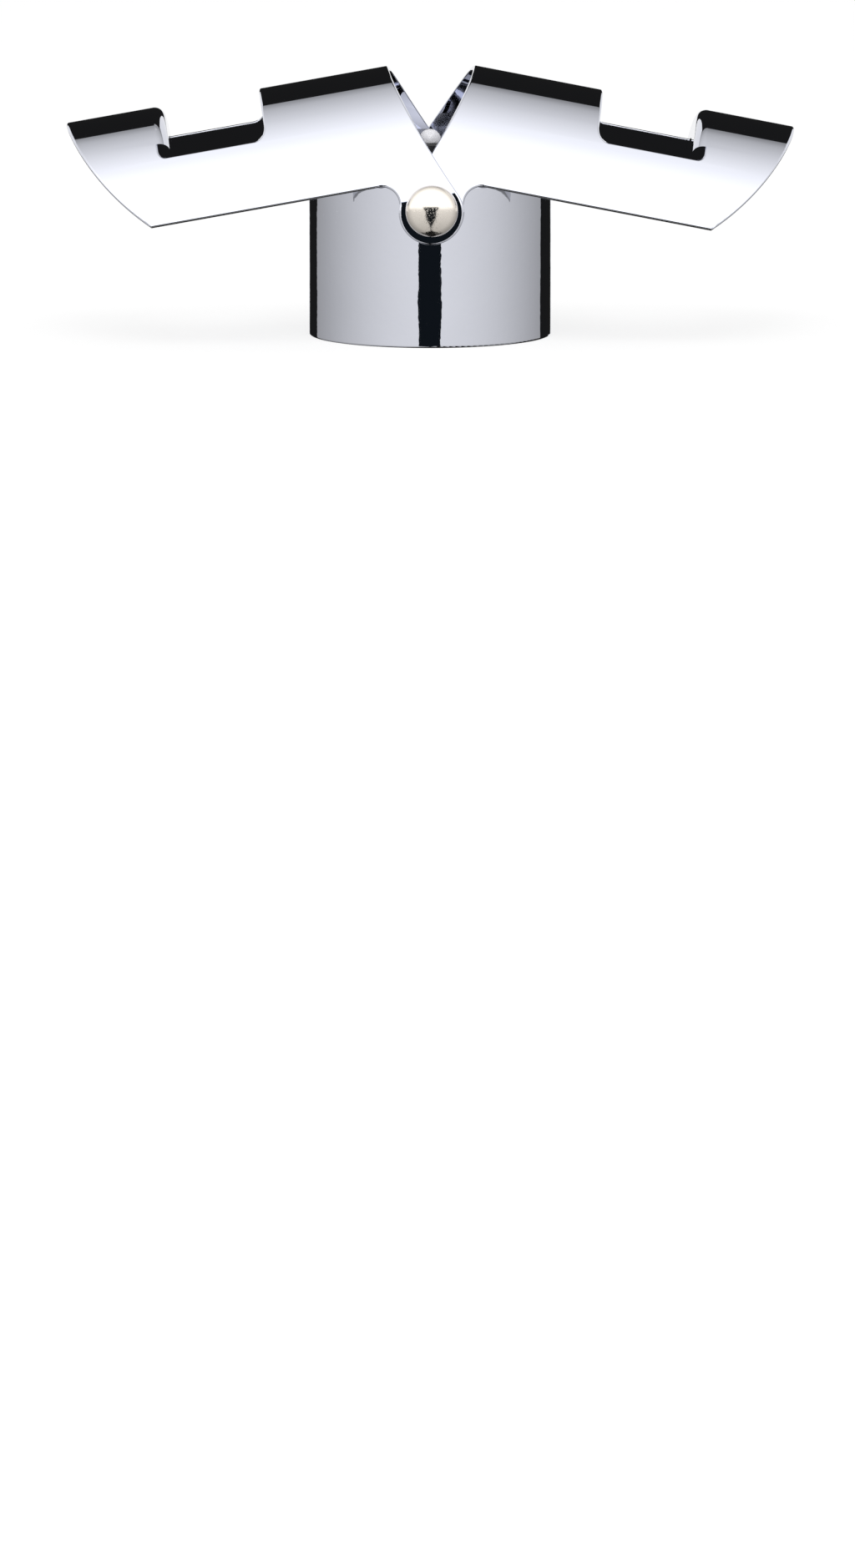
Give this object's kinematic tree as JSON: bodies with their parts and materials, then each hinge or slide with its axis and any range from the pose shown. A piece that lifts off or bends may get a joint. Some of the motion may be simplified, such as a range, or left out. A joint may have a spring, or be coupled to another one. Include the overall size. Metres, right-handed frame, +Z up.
{
  "type": "champagne stopper",
  "caption": "Clamp-on bottle stopper: round chrome cap over a sprung rubber seal, with two half-tube wings on dome-headed pivots that swing down and hook under the neck's ring.",
  "frame": {"origin": "centre of the cap's bottom rim, on the plane it rests on", "axes": "+Z up along the cap's axis, X along the two wings, -Y the front, along the wings' pivot axis"},
  "size_m": [0.1062, 0.0456, 0.0394],
  "materials": {
    "chrome": "mirror-bright chrome plating",
    "nickel": "bright nickel plating, slightly warm",
    "steel": "plain bright steel",
    "black_nylon": "satin black moulding",
    "white_nylon": "natural white nylon",
    "rubber": "matt black food-grade rubber"
  },
  "bodies": {
    "cap": {"cap_shell": "chrome", "front_pivot_stud": "nickel", "back_pivot_stud": "nickel", "front_inner_washer": "white_nylon", "back_inner_washer": "white_nylon", "front_outer_washer": "white_nylon", "back_outer_washer": "white_nylon", "front_retaining_washer": "steel", "back_retaining_washer": "steel", "top_bush": "black_nylon", "spring": "steel"},
    "left_wing": {"left_wing": "chrome"},
    "right_wing": {"right_wing": "chrome"},
    "plunger": {"stem_rivet": "chrome", "seal_carrier": "black_nylon", "seal": "rubber", "rivet_washer": "steel"}
  },
  "joints": [
    {"name": "left_wing_hinge", "type": "hinge", "parent": "cap", "child": "left_wing", "pos_m": [0, 0, 0.0204], "axis": [0, -1, 0], "range_deg": [-14.1, 79.9]},
    {"name": "right_wing_hinge", "type": "hinge", "parent": "cap", "child": "right_wing", "pos_m": [0, 0, 0.0204], "axis": [0, 1, 0], "range_deg": [-15, 79]},
    {"name": "seal_slide", "type": "slide", "parent": "cap", "child": "plunger", "axis": [0, 0, 1], "range_m": [0, 0.004], "stiffness_N_per_m": 2400, "springref_m": -0.002, "deforming": ["spring"]}
  ]
}
